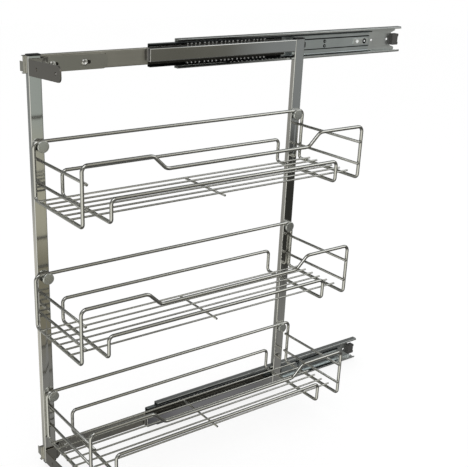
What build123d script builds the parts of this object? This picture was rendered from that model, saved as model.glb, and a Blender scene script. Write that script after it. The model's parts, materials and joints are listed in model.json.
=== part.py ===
"""Pull-out pantry frame: a chrome frame with three wire baskets on two three-part ball slides.

Millimetres. +X runs into the cabinet, so the frame pulls out along -X. The cabinet side wall is
the plane Y = 0 and the baskets hang on the -Y side. +Z is up. The origin is the middle of the
screw pattern of the upper outer rail, on the wall plane. The frame stands partly pulled out.
"""
from build123d import *
import os

os.makedirs("parts", exist_ok=True)

# Slides: one outer, middle and inner rail at the top and at the bottom of the frame
rail_length = 500.0
rail_pitch = 640.0
rail_sheet = 1.2
outer_height = 45.5
outer_depth = 11.2
middle_height = 35.4
inner_height = 25.5
slide_thickness = 12.7
middle_short = 25.0
inner_short = 24.0
inner_overhang = 3.0
rail_corner = 1.6

# Where the parts stand along the slides: the frame is drawn out, and the lower outer rail
# lies further forward than the upper one
upper_pull = 258.0
lower_pull = 228.0
middle_lead = 51.0

# Frame of flat tube
frame_depth = 510.0
post_width = 20.0
post_depth = 10.0
tube_wall = 1.2
tube_corner = 1.5
tube_height = 20.0
tube_offset = 2.5
tube_front_inset = 200.0
stud_inset = 12.0
front_stud_shifts = (2.0, 2.0, 3.5)
cap_thickness = 2.5
cap_plug_length = 8.0
plug_clearance = 0.1

# Baskets of round wire
loop_wire = 5.5
side_wire = 4.5
floor_wire = 3.0
cross_wire = 3.5
basket_overlap = 2.0
basket_depth = 146.0
basket_height = 86.0
basket_pitch = 206.0
first_rail_drop = 108.0
basket_places = {"top": 1.3, "centre": -4.8, "bottom": 6.0}
weld_gap = 0.05
loose_gap = 0.3

# One overrun for every cut
cut_over = 1.0

# Places that follow from the sizes above
rail_front = -rail_length / 2
middle_length = rail_length - middle_short
inner_length = rail_length - inner_short
basket_length = frame_depth + basket_overlap
frame_front = rail_front - upper_pull
frame_rear = frame_front + frame_depth
lower_rail_shift = lower_pull - upper_pull
middle_front = rail_front - middle_lead
tube_far = -slide_thickness
tube_near = tube_far - post_depth
post_length = rail_pitch + 2 * tube_offset + tube_height
post_top = tube_offset + tube_height / 2
inner_front = frame_front - inner_overhang
rail_levels = {"upper": 0.0, "lower": -rail_pitch}
rail_shifts = {"upper": 0.0, "lower": lower_rail_shift}
front_post_middle = frame_front + post_width / 2
rear_post_middle = frame_rear - post_width / 2
front_studs = [frame_front + stud_inset + shift for shift in front_stud_shifts]
rear_studs = [frame_rear - stud_inset] * len(basket_places)


def inward(level, shift):
    """A height above or below one rail's middle, shifted toward the middle of the frame."""
    return level + shift if level < 0 else level - shift


def along_x(face, start, length):
    """Extrude a face drawn in Y and Z along +X from start."""
    return Pos(start, 0, 0) * extrude(face, length, dir=(1, 0, 0))


def box_between(low, high):
    """A box from its lowest to its highest corner."""
    size = [top - bottom for bottom, top in zip(low, high)]
    middle = [(top + bottom) / 2 for bottom, top in zip(low, high)]
    return Pos(*middle) * Box(*size)


def rod_y(radius, near, far, x, z):
    """A round rod along Y."""
    return Pos(x, (near + far) / 2, z) * Rot(90, 0, 0) * Cylinder(radius, far - near)


def yz_rectangle(near, far, low, high):
    """A rectangle in the Y-Z plane."""
    return Plane.YZ * Pos((near + far) / 2, (low + high) / 2) * Rectangle(far - near, high - low)


def channel_face(near, far, height, lip, mouth_far=False):
    """The section of a rolled rail: a box section whose near or far side opens between two lips."""
    depth = far - near
    place = Plane.YZ * Pos((near + far) / 2, 0)
    face = place * RectangleRounded(depth, height, rail_corner)
    hollow = (depth - 2 * rail_sheet, height - 2 * rail_sheet)
    face -= place * RectangleRounded(*hollow, rail_corner - rail_sheet)
    mouth_height = height - 2 * (rail_sheet + lip)
    if mouth_far:
        return face - yz_rectangle(far - rail_sheet - rail_corner / 2, far + cut_over,
                                   -mouth_height / 2, mouth_height / 2)
    return face - yz_rectangle(near - cut_over, near + rail_sheet + rail_corner / 2,
                               -mouth_height / 2, mouth_height / 2)


# Outer rail, its wall screw holes and its rear bumper
outer_lip = 2.6
screw_hole_radius = 2.2
screw_insets = (66.0, 26.0)
web_setback = 16.0
strip_setback = 5.5
notch_half = 11.5
strip_half = 15.0
bumper_front_inset = 20.0
bumper_end_inset = 4.5
bumper_height = 20.0
bumper_wall_gap = 0.6
bumper_slot_depth = 4.0
tab_height = 9.0
bumper_corner = 1.5


def outer_rail():
    """The rail on the cabinet wall, centred on X = 0 and Z = 0."""
    rail = along_x(channel_face(-outer_depth, 0.0, outer_height, outer_lip), rail_front, rail_length)
    rear = rail_length / 2
    web_half = outer_height / 2 - 2 * rail_sheet
    upper_line = [(rear - web_setback, notch_half), (rear - strip_setback, strip_half),
                  (rear - strip_setback, web_half), (rear + cut_over, web_half)]
    lower_line = [(x, -z) for x, z in reversed(upper_line)]
    outline = Plane.XZ * make_face(Polyline(*upper_line, *lower_line, close=True))
    notch = extrude(outline, rail_sheet + cut_over, both=True)
    tab = box_between((rear - web_setback, -rail_sheet, -tab_height / 2),
                      (rear - web_setback + bumper_slot_depth, 0, tab_height / 2))
    rail = rail - notch + tab
    for inset in screw_insets:
        for x in (rail_front + inset, rear - inset):
            rail -= rod_y(screw_hole_radius, -rail_sheet - cut_over, cut_over, x, 0)
    return rail


def rail_bumper():
    """The plastic block that is clipped on the tab at the outer rail's rear end."""
    rear = rail_length / 2
    front = rear - bumper_front_inset
    far = -bumper_wall_gap
    block = box_between((front, -outer_depth + rail_sheet, -bumper_height / 2),
                        (rear - bumper_end_inset, far, bumper_height / 2))
    block = fillet(block.edges().filter_by(Axis.Y), bumper_corner)
    web_pocket = box_between((front - cut_over, -rail_sheet, -bumper_height),
                             (rear - web_setback, cut_over, bumper_height))
    tab_pocket = box_between((rear - web_setback - cut_over, -rail_sheet, -tab_height / 2),
                             (rear - web_setback + bumper_slot_depth, cut_over, tab_height / 2))
    relief_half = bumper_height / 4
    relief = box_between((rear - web_setback + 2 * bumper_slot_depth, -outer_depth, -relief_half),
                         (rear + cut_over, -outer_depth + 2 * rail_sheet, relief_half))
    return block - web_pocket - tab_pocket - relief


# Middle rail: a channel with a raised strip along its web, two stop dimples, a pin and a clip
middle_wall_gap = 2.4
middle_lip = 0.5
strip_height = 15.0
strip_rise = 1.5
dimple_radius = 2.5
dimple_rise = 1.0
dimple_from_rear = 110.0
dimple_level = 4.0
strip_slot = (4.0, 7.5)
strip_slot_from_rear = 157.0
clip_length = 37.0
clip_height = 10.0
clip_thickness = 0.9
clip_from_rear = 3.5
clip_boss_radius = 3.0
clip_boss_rise = 0.8
clip_boss_round = 0.6
clip_boss_inset = 9.7
clip_hole_radius = 3.2
clip_hole_inset = 27.5
clip_pin_radius = 1.5
clip_pin_rise = 0.3
strip_near = -middle_wall_gap - rail_sheet - strip_rise
middle_rear = middle_front + middle_length
clip_front = middle_rear - clip_from_rear - clip_length
clip_near = strip_near - clip_thickness


def middle_rail():
    """The rail between the outer and the inner rail."""
    far = -middle_wall_gap
    half = strip_height / 2
    face = channel_face(-outer_depth, far, middle_height, middle_lip)
    face += yz_rectangle(strip_near, far, -half - rail_sheet, half + rail_sheet)
    face -= yz_rectangle(strip_near + rail_sheet, far + cut_over, -half, half)
    rail = along_x(face, middle_front, middle_length)
    slot_width, slot_tall = strip_slot
    slot_x = middle_rear - strip_slot_from_rear
    rail -= box_between((slot_x - slot_width / 2, strip_near - cut_over, -slot_tall / 2),
                        (slot_x + slot_width / 2, far, slot_tall / 2))
    for level in (-dimple_level, dimple_level):
        rail += rod_y(dimple_radius, strip_near - dimple_rise, strip_near + rail_sheet,
                      middle_rear - dimple_from_rear, level)
    rail += rod_y(clip_pin_radius, clip_near - clip_pin_rise, strip_near + rail_sheet,
                  clip_front + clip_hole_inset, 0)
    return rail


def middle_clip():
    """The stop clip on the raised strip, with a round boss and a hole round the rail's pin."""
    plate = box_between((clip_front, clip_near, -clip_height / 2),
                        (clip_front + clip_length, strip_near, clip_height / 2))
    plate = fillet(plate.edges().filter_by(Axis.Y), clip_height / 4)
    boss = rod_y(clip_boss_radius, clip_near - clip_boss_rise, strip_near, clip_front + clip_boss_inset, 0)
    boss = fillet(boss.edges().sort_by(Axis.Y)[0], clip_boss_round)
    hole = rod_y(clip_hole_radius, clip_near - cut_over, cut_over, clip_front + clip_hole_inset, 0)
    return plate + boss - hole


# Inner rail: a channel whose web lies on the frame and whose mouth faces the wall
inner_depth = 5.9
front_tab_height = 14.0
front_tab_shift = 3.0
front_tab_wall_gap = 1.5
bracket_screw_radius = 2.5
rail_screw_radius = 2.0
hole_clearance = 0.1
rail_screw_insets = (10.0, 230.0, 460.0)
rail_screw_head_radius = 3.5
rail_screw_head = 1.8
rail_screw_reach = 3.0
slot_middles = (43.0, 95.0)
screw_places = (41.0, 92.0)


def inner_rail(level):
    """The rail that the frame hangs on, with a folded tab at its front end."""
    far = tube_far + inner_depth
    face = channel_face(tube_far, far, inner_height, 0, mouth_far=True)
    rail = Pos(0, 0, level) * along_x(face, inner_front, inner_length)
    tab_low = inward(level, front_tab_shift) - front_tab_height / 2
    rail += box_between((inner_front, tube_far, tab_low),
                        (inner_front + rail_sheet, -front_tab_wall_gap, tab_low + front_tab_height))
    for place in screw_places:
        rail -= rod_y(bracket_screw_radius + hole_clearance, tube_far - cut_over,
                      far, frame_front + place, inward(level, bracket_shift))
    for place in rail_screw_insets:
        rail -= rod_y(rail_screw_radius + hole_clearance, tube_far - cut_over,
                      far, frame_front + place, level)
    return rail


def rail_screws():
    """Low-headed screws that hold the inner rails to the frame, heads inside the rails."""
    screws = []
    head_near = tube_far + rail_sheet
    for level in rail_levels.values():
        for place in rail_screw_insets:
            x = frame_front + place
            screw = rod_y(rail_screw_head_radius, head_near, head_near + rail_screw_head, x, level)
            screw += rod_y(rail_screw_radius, tube_far - rail_screw_reach, head_near, x, level)
            screws.append(screw)
    return Compound(screws)


# Ball cages: a bent strip with a row of holes above and below, four balls to a group
inner_ball_radius = 1.55
outer_ball_radius = 1.6
ball_hole_clearance = 0.1
ball_pitch = 7.7
group_pitch = 33.0
balls_in_group = 4
group_count = 5
cage_margin = 4.5
cage_sheet = 0.5
inner_balls_y = -8.3
outer_balls_y = -6.3
inner_cage_web_near = -6.25
outer_cage_web_near = -2.05
inner_cage_lead = 277.0
outer_cage_lead = 365.0
cage_length = (group_count - 1) * group_pitch + (balls_in_group - 1) * ball_pitch + 2 * cage_margin
inner_ball_level = (middle_height / 2 - rail_sheet + inner_height / 2) / 2
outer_ball_level = (outer_height / 2 - rail_sheet + middle_height / 2) / 2


def ball_places(lead):
    """X of every ball in one row."""
    first = frame_front + lead
    return [first + group * group_pitch + ball * ball_pitch
            for group in range(group_count) for ball in range(balls_in_group)]


def ball_cage(lead, level, balls_y, web_near, radius):
    """One bent strip round the smaller rail, with the holes that hold the balls."""
    start = frame_front + lead - cage_margin
    near = balls_y - radius
    far = web_near + cage_sheet
    face = yz_rectangle(web_near, far, -level - cage_sheet / 2, level + cage_sheet / 2)
    for side in (-level, level):
        face += yz_rectangle(near, far, side - cage_sheet / 2, side + cage_sheet / 2)
    strip = along_x(face, start, cage_length)
    hole = Cylinder(radius + ball_hole_clearance, 2 * level + 2 * cage_sheet)
    holes = [Pos(x, balls_y, 0) * hole for x in ball_places(lead)]
    return strip - holes


def ball_set(lead, level, balls_y, radius):
    """The loose steel balls of one cage."""
    ball = Sphere(radius)
    return [Pos(x, balls_y, side) * ball for x in ball_places(lead) for side in (-level, level)]


# Posts, tubes and end caps
stud_pin_radius = 2.0


def tube_section(width, height):
    """The section of a flat tube."""
    hollow = (width - 2 * tube_wall, height - 2 * tube_wall)
    return RectangleRounded(width, height, tube_corner) - RectangleRounded(
        *hollow, tube_corner - tube_wall)


def stud_levels():
    """Z of the studs, one below each basket's rear rail."""
    drop = first_rail_drop + loop_wire / 2 + loose_gap + stud_radius
    return [-drop - row * basket_pitch for row in range(len(basket_places))]


def post(x_middle, stud_row, rail_screwed):
    """One upright flat tube with the holes for its studs and its rail screws."""
    place = Pos(x_middle, tube_near + post_depth / 2, post_top - post_length)
    tube = place * extrude(tube_section(post_width, post_depth), post_length)
    for stud_x, level in zip(stud_row, stud_levels()):
        tube -= rod_y(stud_pin_radius + hole_clearance, tube_near - cut_over,
                      tube_near + tube_wall + cut_over, stud_x, level)
    if rail_screwed:
        for level in rail_levels.values():
            tube -= rod_y(rail_screw_radius + hole_clearance, tube_far - tube_wall - cut_over,
                          tube_far + cut_over, x_middle, level)
    return tube


def cross_tube(centre_level, rail_level):
    """A level flat tube from its open front end to the rear post."""
    front = frame_front + tube_front_inset
    length = frame_rear - post_width - front
    place = Plane.YZ * Pos(tube_near + post_depth / 2, centre_level)
    tube = along_x(place * tube_section(post_depth, tube_height), front, length)
    for inset in rail_screw_insets:
        tube -= rod_y(rail_screw_radius + hole_clearance, tube_far - tube_wall - cut_over,
                      tube_far + cut_over, frame_front + inset, rail_level)
    return tube


def post_caps():
    """Black plugs with a flat head, one in each end of each post."""
    head_face = RectangleRounded(post_width, post_depth, tube_corner)
    trim = 2 * (tube_wall + plug_clearance)
    plug_face = Rectangle(post_width - trim, post_depth - trim)
    head = extrude(head_face, cap_thickness)
    head = fillet(head.faces().sort_by(Axis.Z)[-1].edges(), cap_thickness / 3)
    cap = head + extrude(plug_face, -cap_plug_length)
    caps = []
    for x in (front_post_middle, rear_post_middle):
        middle_y = tube_near + post_depth / 2
        caps.append(Pos(x, middle_y, post_top) * cap)
        caps.append(Pos(x, middle_y, post_top - post_length) * Rot(180, 0, 0) * cap)
    return Compound(caps)


# Studs that the baskets hang on
stud_radius = 3.5
stud_head_radius = 9.0
stud_head = 4.0
stud_edge = 0.8
stud_reach = 6.0


def basket_studs():
    """Smooth round-headed studs in both posts."""
    head_far = tube_near - loop_wire - 2 * loose_gap
    head_near = head_far - stud_head
    studs = []
    for row, level in enumerate(stud_levels()):
        for x in (front_studs[row], rear_studs[row]):
            head = rod_y(stud_head_radius, head_near, head_far, x, level)
            head = fillet(head.edges().sort_by(Axis.Y)[0], stud_edge)
            stud = head + rod_y(stud_radius, head_far, tube_near, x, level)
            stud += rod_y(stud_pin_radius, tube_near, tube_near + stud_reach, x, level)
            studs.append(stud)
    return Compound(studs)


# Door brackets: one leg lies on the inner rail and steps out round the post, the other leg is the
# flange that the door is screwed to, which rises a little toward its tip
bracket_plate = 2.0
bracket_height = 22.0
bracket_shift = 2.0
bracket_gap = 2.0
bracket_reach = 131.0
flange_reach = 100.0
flange_flat = 3.0
flange_rise = 4.7
bend_radius = 2.5
step_start = 20.0
step_end = 33.0
step_radius = 5.0
leg_corner = 9.0
flange_corner = 7.5
slot_length = 15.0
slot_radius = 2.7
door_hole_radius = 2.3
door_hole_inset = 14.0
door_hole_pitch = 57.0
flange_front = frame_front - bracket_plate
leg_far = tube_near - bracket_gap
flange_tip = leg_far - flange_reach
slant_start = leg_far - bend_radius - bracket_plate - flange_flat
flange_slope = flange_rise / (slant_start - flange_tip)
door_holes = (flange_tip + door_hole_inset, flange_tip + door_hole_inset + door_hole_pitch)


def door_bracket(level):
    """One bent plate, drawn from above as a line with a thickness."""
    half = bracket_height / 2
    points = [(flange_front, slant_start), (flange_front, leg_far),
              (frame_front + step_start, leg_far), (frame_front + step_end, tube_far),
              (frame_front + bracket_reach, tube_far)]
    far_line = FilletPolyline(*points, radius=[bend_radius + bracket_plate, step_radius, step_radius])
    section = make_face(offset(far_line, amount=bracket_plate, side=Side.RIGHT))
    plate = Pos(0, 0, -half) * extrude(section, bracket_height)
    outline = Polyline((slant_start, -half), (flange_tip, flange_rise - half),
                       (flange_tip, flange_rise + half), (slant_start, half), close=True)
    plate += along_x(Plane.YZ * make_face(outline), flange_front, bracket_plate)
    tip_edges = plate.edges().filter_by(Axis.X).group_by(Axis.Y)[0]
    plate = fillet(tip_edges, flange_corner)
    end_edges = plate.edges().filter_by(Axis.Y).group_by(Axis.X)[-1]
    plate = fillet(end_edges, leg_corner)
    for x in slot_middles:
        slot = Pos(frame_front + x, tube_far, 0) * Rot(90, 0, 0) * extrude(
            SlotOverall(slot_length, 2 * slot_radius), bracket_plate + cut_over, both=True)
        plate -= slot
    for y in door_holes:
        hole = Pos(flange_front, y, flange_slope * (slant_start - y)) * Rot(0, 90, 0) * Cylinder(
            door_hole_radius, 2 * (bracket_plate + cut_over))
        plate -= hole
    return Pos(0, 0, inward(level, bracket_shift)) * plate


# Pan-headed screws that clamp the brackets to the inner rails
pan_radius = 5.0
pan_height = 2.6
pan_round = 1.6
cross_width = 1.1
cross_span = 5.6
cross_depth = 1.5
bracket_screw_reach = 3.4


def bracket_screws():
    """Cross-headed screws, two to a bracket."""
    head_far = tube_far - bracket_plate
    head_near = head_far - pan_height
    screws = []
    for rail_level in rail_levels.values():
        level = inward(rail_level, bracket_shift)
        for place in screw_places:
            x = frame_front + place
            screw = rod_y(pan_radius, head_near, head_far, x, level)
            screw = fillet(screw.edges().sort_by(Axis.Y)[0], pan_round)
            screw += rod_y(bracket_screw_radius, head_far, tube_far + bracket_screw_reach, x, level)
            for wide, tall in ((cross_span, cross_width), (cross_width, cross_span)):
                screw -= box_between((x - wide / 2, head_near - cut_over, level - tall / 2),
                                     (x + wide / 2, head_near + cross_depth, level + tall / 2))
            screws.append(screw)
    return Compound(screws)


# Basket wires, drawn from the front end, the rear rail and the bottom runs of the main loop
top_bend = 9.0
bottom_bend = 6.5
dip_bend = 14.0
dip_height = 65.0
dip_start = 111.0
dip_end_from_rear = 92.0
dip_slope_run = 22.0
rail_front_inset = 44.0
rail_rear_inset = 51.0
rail_rear_height = 39.0
rail_near_height = 34.0
rail_bend = 8.0
side_low_level = 25.0
side_high_level = 61.0
side_rear_end = 1.5
side_near_end = 4.0
floor_first = 21.0
floor_pitch = 19.0
floor_count = 6
floor_nub = 3.5
cross_rear = 15.0
cross_near = 122.0


def wire_along(points, radii, diameter):
    """Round wire swept along straight runs joined by arcs."""
    path = FilletPolyline(*points, radius=radii)
    section = Plane(origin=path @ 0, z_dir=path % 0) * Circle(diameter / 2)
    return sweep(section, path=path)


def basket_origin(row, place):
    """Front end, rear rail plane and bottom run of one basket."""
    x = frame_front + place
    y = tube_near - loose_gap - loop_wire / 2
    z = -first_rail_drop - row * basket_pitch - basket_height
    return Pos(x, y, z)


def frame_loop():
    """The main loop: rear rail, end frames and the dipped near rail, in one closed wire."""
    length, depth, height = basket_length, basket_depth, basket_height
    half = length / 2
    front = [(half, 0, height), (0, 0, height), (0, 0, 0), (0, -depth, 0), (0, -depth, height),
             (dip_start, -depth, height), (dip_start + dip_slope_run, -depth, dip_height),
             (half, -depth, dip_height)]
    dip_end = length - dip_end_from_rear
    rear = [(half, -depth, dip_height), (dip_end - dip_slope_run, -depth, dip_height),
            (dip_end, -depth, height), (length, -depth, height), (length, -depth, 0),
            (length, 0, 0), (length, 0, height), (half, 0, height)]
    front_radii = [top_bend, bottom_bend, bottom_bend, top_bend, dip_bend, dip_bend]
    rear_radii = [dip_bend, dip_bend, top_bend, bottom_bend, bottom_bend, top_bend]
    return wire_along(front, front_radii, loop_wire) + wire_along(rear, rear_radii, loop_wire)


def rail_loop():
    """The second loop: a low rail behind, a low rail in front and two runs below the floor."""
    first = rail_front_inset
    last = basket_length - rail_rear_inset
    half = basket_length / 2
    depth = basket_depth
    front = [(half, 0, rail_rear_height), (first, 0, rail_rear_height), (first, 0, 0),
             (first, -depth, 0), (first, -depth, rail_near_height), (half, -depth, rail_near_height)]
    rear = [(half, -depth, rail_near_height), (last, -depth, rail_near_height), (last, -depth, 0),
            (last, 0, 0), (last, 0, rail_rear_height), (half, 0, rail_rear_height)]
    bends = [rail_bend, bottom_bend, bottom_bend, rail_bend]
    return wire_along(front, bends, loop_wire) + wire_along(rear, bends, loop_wire)


def side_wires():
    """Two level wires at each end, welded inside the uprights of the main loop."""
    inset = (loop_wire + side_wire) / 2 + weld_gap
    return Compound([rod_y(side_wire / 2, -basket_depth - side_near_end, side_rear_end, x, level)
                     for x in (inset, basket_length - inset)
                     for level in (side_low_level, side_high_level)])


def floor_level():
    """Height of the floor wires' middles above the bottom runs that carry them."""
    return (loop_wire + floor_wire) / 2 + weld_gap


def floor_wires():
    """Thin wires along the basket, resting on the bottom runs of both loops."""
    length = basket_length + 2 * (loop_wire / 2 + floor_nub)
    rod = Rot(0, 90, 0) * Cylinder(floor_wire / 2, length)
    return Compound([Pos(basket_length / 2, -floor_first - row * floor_pitch, floor_level()) * rod
                     for row in range(floor_count)])


def cross_bar():
    """One wire across the middle, welded below the floor wires."""
    level = floor_level() - (floor_wire + cross_wire) / 2 - weld_gap
    return rod_y(cross_wire / 2, -cross_near, -cross_rear, basket_length / 2, level)


def write(name, shape):
    """Write one named piece."""
    export_step(shape, os.path.join("parts", name + ".step"))


write("front_post", post(front_post_middle, front_studs, True))
write("rear_post", post(rear_post_middle, rear_studs, False))
write("upper_tube", cross_tube(tube_offset, rail_levels["upper"]))
write("lower_tube", cross_tube(-rail_pitch - tube_offset, rail_levels["lower"]))
write("post_caps", post_caps())
write("basket_studs", basket_studs())
write("bracket_screws", bracket_screws())
write("rail_screws", rail_screws())

outer_piece = outer_rail()
bumper_piece = rail_bumper()
middle_piece = middle_rail()
clip_piece = middle_clip()
inner_cage_size = (inner_cage_lead, inner_ball_level, inner_balls_y)
outer_cage_size = (outer_cage_lead, outer_ball_level, outer_balls_y)
cages = {"inner_cage": ball_cage(*inner_cage_size, inner_cage_web_near, inner_ball_radius),
         "outer_cage": ball_cage(*outer_cage_size, outer_cage_web_near, outer_ball_radius)}
balls = {"inner_balls": ball_set(*inner_cage_size, inner_ball_radius),
         "outer_balls": ball_set(*outer_cage_size, outer_ball_radius)}

for side, side_level in rail_levels.items():
    at_wall = Pos(rail_shifts[side], 0, side_level)
    at_level = Pos(0, 0, side_level)
    write(side + "_outer_rail", at_wall * outer_piece)
    write(side + "_rail_bumper", at_wall * bumper_piece)
    write(side + "_middle_rail", at_level * middle_piece)
    write(side + "_middle_clip", at_level * clip_piece)
    write(side + "_inner_rail", inner_rail(side_level))
    write(side + "_door_bracket", door_bracket(side_level))
    for cage_name, cage_piece in cages.items():
        write(side + "_" + cage_name, at_level * cage_piece)
    for ball_name, ball_pieces in balls.items():
        write(side + "_" + ball_name, Compound([at_level * ball for ball in ball_pieces]))

wires = {"frame_loop": frame_loop(), "rail_loop": rail_loop(), "side_wires": side_wires(),
         "floor_wires": floor_wires(), "cross_wire": cross_bar()}
for basket_row, (basket_name, basket_place) in enumerate(basket_places.items()):
    for wire_name, wire_piece in wires.items():
        write(basket_name + "_basket_" + wire_name, basket_origin(basket_row, basket_place) * wire_piece)
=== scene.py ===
"""Dresses the pull-out pantry frame: plated tube, wire baskets, ball slides, brackets and stage."""
import json
import math

import bmesh
import bpy
from mathutils import Matrix, Vector

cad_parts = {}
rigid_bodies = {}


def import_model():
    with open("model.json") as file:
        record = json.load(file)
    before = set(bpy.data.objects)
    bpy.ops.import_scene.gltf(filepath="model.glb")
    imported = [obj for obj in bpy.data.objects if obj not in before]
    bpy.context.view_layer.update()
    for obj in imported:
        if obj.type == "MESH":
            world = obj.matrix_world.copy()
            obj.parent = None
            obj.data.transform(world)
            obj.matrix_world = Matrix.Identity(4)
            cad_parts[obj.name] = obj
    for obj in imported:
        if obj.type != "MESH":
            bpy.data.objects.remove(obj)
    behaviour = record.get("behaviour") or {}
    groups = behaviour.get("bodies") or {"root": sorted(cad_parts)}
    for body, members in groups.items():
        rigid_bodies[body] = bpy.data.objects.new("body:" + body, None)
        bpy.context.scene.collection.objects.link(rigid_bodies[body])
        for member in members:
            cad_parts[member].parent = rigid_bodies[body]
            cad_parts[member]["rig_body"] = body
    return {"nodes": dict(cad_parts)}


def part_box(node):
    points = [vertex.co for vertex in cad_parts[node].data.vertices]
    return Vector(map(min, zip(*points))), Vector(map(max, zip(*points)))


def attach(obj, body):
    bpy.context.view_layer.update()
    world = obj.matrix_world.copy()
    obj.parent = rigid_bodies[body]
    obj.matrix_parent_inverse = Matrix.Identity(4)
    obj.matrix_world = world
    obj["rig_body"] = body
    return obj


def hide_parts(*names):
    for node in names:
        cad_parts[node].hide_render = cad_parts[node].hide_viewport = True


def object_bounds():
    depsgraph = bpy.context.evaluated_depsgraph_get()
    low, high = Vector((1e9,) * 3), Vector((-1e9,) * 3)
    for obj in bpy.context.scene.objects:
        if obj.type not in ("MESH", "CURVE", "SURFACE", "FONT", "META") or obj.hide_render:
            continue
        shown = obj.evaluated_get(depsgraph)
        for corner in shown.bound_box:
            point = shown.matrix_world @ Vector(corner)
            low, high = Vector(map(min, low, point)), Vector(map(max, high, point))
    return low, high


bl_info = {
    "name": "Pull-out Pantry Frame",
    "version": (1, 0, 0),
    "blender": (4, 5, 0),
    "location": "View3D > Sidebar > Pantry Frame",
    "description": "Finishes, welds and studio for a pull-out frame with wire baskets",
    "category": "Object",
}

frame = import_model()
cad_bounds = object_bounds()

MM = 0.001
BASKETS = ("top", "centre", "bottom")
SIDES = ("upper", "lower")
PRINCIPLED = "Principled BSDF"

# Noise of the shared groups: scales along X, Y and Z, and details
CLOUD_SCALE = (12.0, 12.0, 7.0)
CLOUD_DETAIL = 3.0
PIT_SCALE = 900.0
PIT_DETAIL = 2.0
GRAIN_SCALE = (6.0, 900.0, 900.0)
GRAIN_DETAIL = 3.0

# Shares of a finish's colour where it is darkest and palest
PLATED_SWING = (0.88, 1.12)
ZINC_SWING = (0.8, 1.2)
PLASTIC_SWING = (0.8, 1.5)
BARE_SWING = (0.85, 1.15)

# How far the haze moves each roughness, the depth of the grain, and the depth of the bumps
PLATED_HAZE = 0.1
BALL_HAZE = 0.02
ZINC_HAZE = 0.12
PLASTIC_HAZE = 0.15
BARE_HAZE = 0.2
GRAIN_DEPTH = 0.5
PLATED_BUMP = 0.004 * MM
ZINC_BUMP = 0.01 * MM
PLASTIC_BUMP = 0.03 * MM

# Roughness of the smaller pieces, and metallic shares below 1
ROUGHNESS = {"bracket": 0.3, "screw": 0.22, "stud": 0.28, "ball": 0.12, "clip": 0.3,
             "cage": 0.4, "cap": 0.38, "bumper": 0.5, "bare": 0.6}
BALL_METAL = 0.4
# Metallic share of the painted highlight on the clip's boss and the middle rail's pin
HIGHLIGHT_METAL = 0.35
BARE_METAL = 0.2

# Places on the slides. Levels are heights above or below a slide's middle, depths are Y, and each pair
# of either kind is the span over which one finish gives way to another.
FADE = 2 * MM
# painted shade: the outer rails' flanges darker beyond this level
FLANGE_LEVEL = (20.8 * MM, 21.8 * MM)
FLANGE_SHADE_SHARE = 0.58
# painted shade: the outer rails' near lips dark toward the front
LIP_DEPTH = (-10.6 * MM, -10.1 * MM)
LIP_RUN = (-150 * MM, 20 * MM)
LIP_SHADE_SHARE = 0.04
# painted shade: the middle rails' flanges darker beyond this level
MIDDLE_FLANGE_LEVEL = (17.0 * MM, 17.5 * MM)
MIDDLE_FLANGE_SHADE_SHARE = 0.6
# oiled tracks and painted shade: the middle rails dark in front of this depth
TRACK_DEPTH = (-8.0 * MM, -5.0 * MM)
# painted shade: the inner rails' steps beside the tubes and the web under the brackets
STEP_LEVEL = (7.3 * MM, 7.7 * MM)
STEP_DEPTH = (-12.4 * MM, -12.0 * MM)
STEP_SHADE_SHARE = 0.1
COVERED_LEVEL = (8.0 * MM, 8.6 * MM)
COVERED_SOFT = 0.5 * MM
COVER_OVERLAP = 3.0 * MM

# Bands of painted shade across the slides: middle, half width and soft edge
TRACK_BAND = (14.8 * MM, 2.1 * MM, 0.2 * MM)
STRIP_BAND = (8.7 * MM, 0.7 * MM, 0.5 * MM)
SLOT_HALVES = (2.4 * MM, 4.2 * MM)
SLOT_SOFT = 0.3 * MM
SLOT_FROM_REAR = 157 * MM

# Round marks on the middle rails and their clips, measured from the rail's rear or the clip's front; the
# dimple's and hole's rings are painted shade, the boss and pin painted highlight
RING_SOFT = 0.25 * MM
DIMPLE_FROM_REAR = 110 * MM
DIMPLE_LEVEL = 4 * MM
DIMPLE_RADII = (1.7 * MM, 2.9 * MM)
CLIP_BOSS = 9.7 * MM
CLIP_BOSS_RADIUS = 2.9 * MM
CLIP_HOLE = 27.5 * MM
CLIP_HOLE_RADIUS = 3.3 * MM
# radius of the painted shade round the clip's hole
CLIP_RIM_RADIUS = 4.5 * MM
CLIP_PIN_RADIUS = 1.5 * MM
CLIP_PIN_TOP_RADIUS = 1.4 * MM

# Depths at which the brackets' flanges begin and the tubes' near walls end; beyond each, painted shade
# darkens the colour
BRACKET_FLANGE_DEPTH = (-30 * MM, -26 * MM)
NEAR_WALL_DEPTH = (-21.7 * MM, -21.4 * MM)

# Meshes
SMOOTH_ANGLE = math.radians(32)
BEVEL_ANGLE = math.radians(38)
BEVEL_SEGMENTS = 2
MERGE_GAP = 0.001 * MM
TUBE_WALL = 1.1 * MM
CUT_END_REACH = 0.1 * MM
CUT_END_FACING = -0.9

# Stage: metres and degrees
SENSOR_WIDTH = 36.0
CLIP_RANGE = (0.01, 50.0)
FLOOR_GAP = 0.002
FLOOR_REACH = 6.0
FLOOR_ROUGHNESS = 0.9
FLOOR_SPECULAR = 0.1
KEY_PLACE, KEY_SIZE = (-0.9, -1.4, 1.3), 1.2
FILL_PLACE, FILL_SIZE = (1.2, -1.2, 0.6), 1.0

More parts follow.
